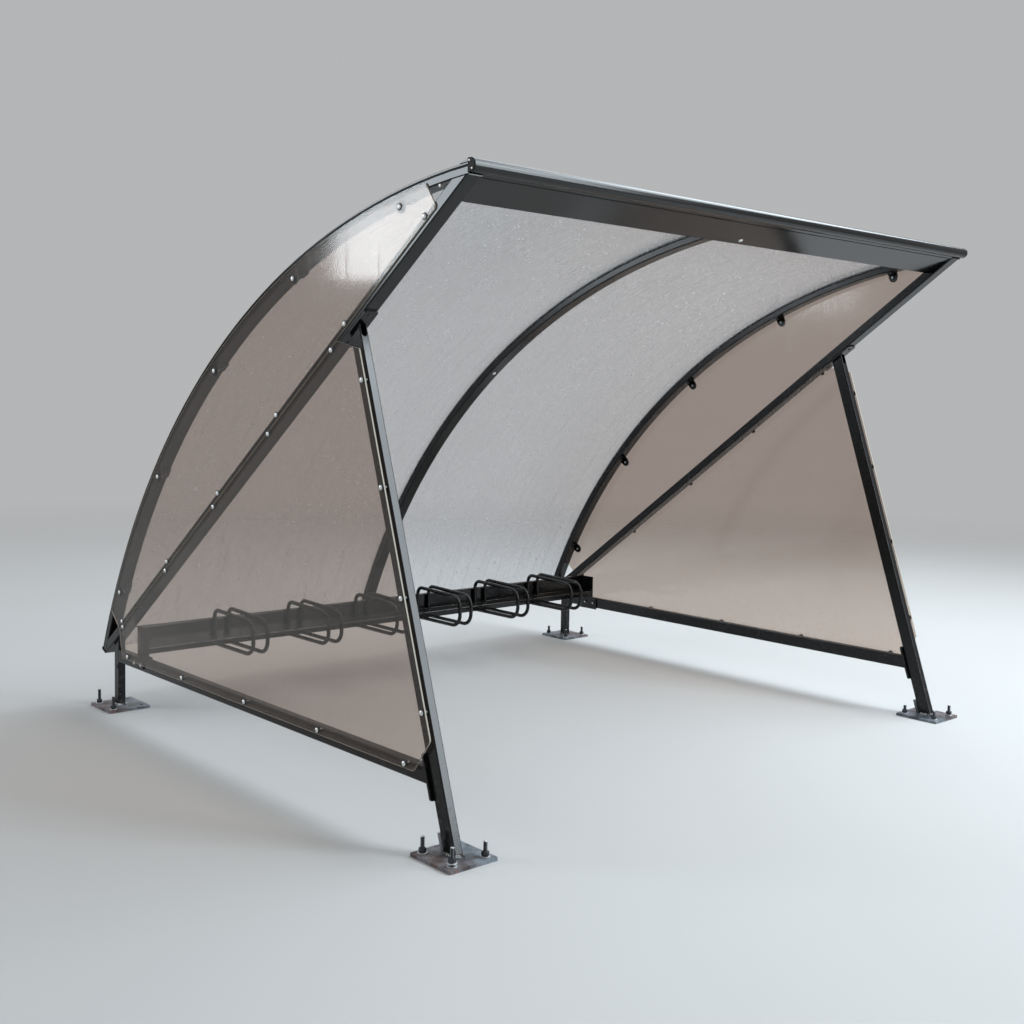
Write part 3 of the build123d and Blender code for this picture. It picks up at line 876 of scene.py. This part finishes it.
# Welds where legs and back posts stand on their plates
front_bead_radius = 0.0082
side_bead_start = 0.004
side_bead_end = 0.006
foot_front = leg_front(plate_top)
foot_back = foot_front + 2 * tube_half / cos(lean)
post_front = post_y - post_half
post_back = post_y + post_half
for side, sign in sides:
    left = sign * frame_half - thin_half
    right = sign * frame_half + thin_half
    parts = [welded(left, foot_front, right, foot_front, front_bead_radius)]
    for edge, across in ((left, post_front), (right, post_back)):
        parts.append(welded(edge, foot_front + side_bead_start, edge, foot_back - side_bead_end))
        parts.append(welded(edge, post_front, edge, post_back))
        parts.append(welded(left, across, right, across))
    piece_of(f"foot_welds_{side}", parts)


def bent_band(x, half_wide, inner, thick, low_turn, high_turn, finish):
    """A thin band spun about the arches' centre line."""
    steps = 72
    centre = on_arch(x, 0.0, 0.0)
    middle = on_arch(x, inner + thick / 2, low_turn)
    band = primitive("plane", size=1.0, location=(0, 0, 0))
    bpy.ops.object.mode_set(mode="EDIT")
    bpy.ops.transform.resize(value=(2 * half_wide, thick, 1.0))
    bpy.ops.object.mode_set(mode="OBJECT")
    along = Vector((0, -sin(low_turn), cos(low_turn)))
    outward = Vector((0, cos(low_turn), sin(low_turn)))
    turn = Matrix((Vector((1, 0, 0)), outward, along)).transposed().to_4x4()
    band.data.transform(Matrix.Translation(middle) @ turn)
    bpy.ops.object.mode_set(mode="EDIT")
    bpy.ops.mesh.select_all(action="SELECT")
    bpy.ops.mesh.spin(steps=steps, angle=low_turn - high_turn, center=centre, axis=(1, 0, 0))
    bpy.ops.mesh.select_all(action="SELECT")
    bpy.ops.mesh.remove_doubles(threshold=0.00001)
    bpy.ops.mesh.normals_make_consistent(inside=False)
    return leave(band, finish)


# Rubber along the outer edges of the roof sheets
sheet_thick = 0.004
sheet_edge = frame_half + 0.019
gasket_half = 0.0012
gasket_room = 0.0001
gasket_inner = arch_radius + arch_deep + gasket_room
gasket_thick = sheet_thick - 2 * gasket_room
gasket_low = arch_foot_turn + radians(0.3)
gasket_high = radians(86.0)
for side, sign in sides:
    gasket_x = sign * (sheet_edge + gasket_half + gasket_room)
    band = bent_band(gasket_x, gasket_half, gasket_inner, gasket_thick, gasket_low, gasket_high, rubber)
    piece_of(f"roof_gasket_{side}", [band])

# Plain pale floor
floor_reach = 22.0
floor = primitive("circle", vertices=96, radius=floor_reach, fill_type="NGON", location=(0, 0, 0))
floor.name = "floor"
floor.data.materials.append(pale_floor(floor_reach))


def softbox(name, place, wide, high, radiance):
    """A large area lamp that faces the shelter's middle."""
    away = Vector(place) - Vector((0.0, 0.0, lit_height))
    lamp = bpy.data.lights.new(name, "AREA")
    lamp.shape = "RECTANGLE"
    lamp.size = wide
    lamp.size_y = high
    lamp.energy = radiance * pi * wide * high
    lamp.color = lamp_colour
    holder = bpy.data.objects.new(name, lamp)
    bpy.context.scene.collection.objects.link(holder)
    holder.location = place
    holder.rotation_euler = away.to_track_quat("Z", "Y").to_euler()
    holder.visible_camera = False


# Soft light from four large panels and an even grey sky
lit_height = 0.9
lamp_colour = (0.84, 0.935, 1.0)
softbox("key panel", (2.9, -5.8, 3.5), 2.0, 5.2, 10.5)
softbox("rear panel", (-7.9, 7.0, 4.1), 3.0, 3.2, 9.5)
softbox("top panel", (4.0, -2.4, 5.8), 6.2, 2.8, 6.5)
softbox("back panel", (3.8, 0.8, 6.4), 6.2, 3.6, 2.4)

world = bpy.data.worlds.new("studio")
world.use_nodes = True
sky = world.node_tree.nodes["Background"]
sky.inputs["Color"].default_value = (0.46, 0.465, 0.47, 1.0)
sky.inputs["Strength"].default_value = 1.0
bpy.context.scene.world = world

# Camera at the photograph's place
camera_side = -3.3905
camera_before_feet = 2.5971
camera_height = 1.2787
camera_turn = radians(-41.99)
camera_dip = radians(4.01)
camera_roll = radians(1.131)
lens = bpy.data.cameras.new("camera")
lens.lens = 43.783
lens.sensor_width = 36.0
lens.shift_x = -0.00203
lens.shift_y = -0.0281
lens.clip_end = 200.0
camera = bpy.data.objects.new("camera", lens)
bpy.context.scene.collection.objects.link(camera)
aim = Euler((pi / 2 - camera_dip, 0.0, camera_turn)).to_matrix() @ Matrix.Rotation(camera_roll, 3, "Z")
camera.location = (camera_side, front_y - camera_before_feet, camera_height)
camera.rotation_euler = aim.to_euler()
bpy.context.scene.camera = camera
bpy.context.scene.view_settings.view_transform = "Standard"
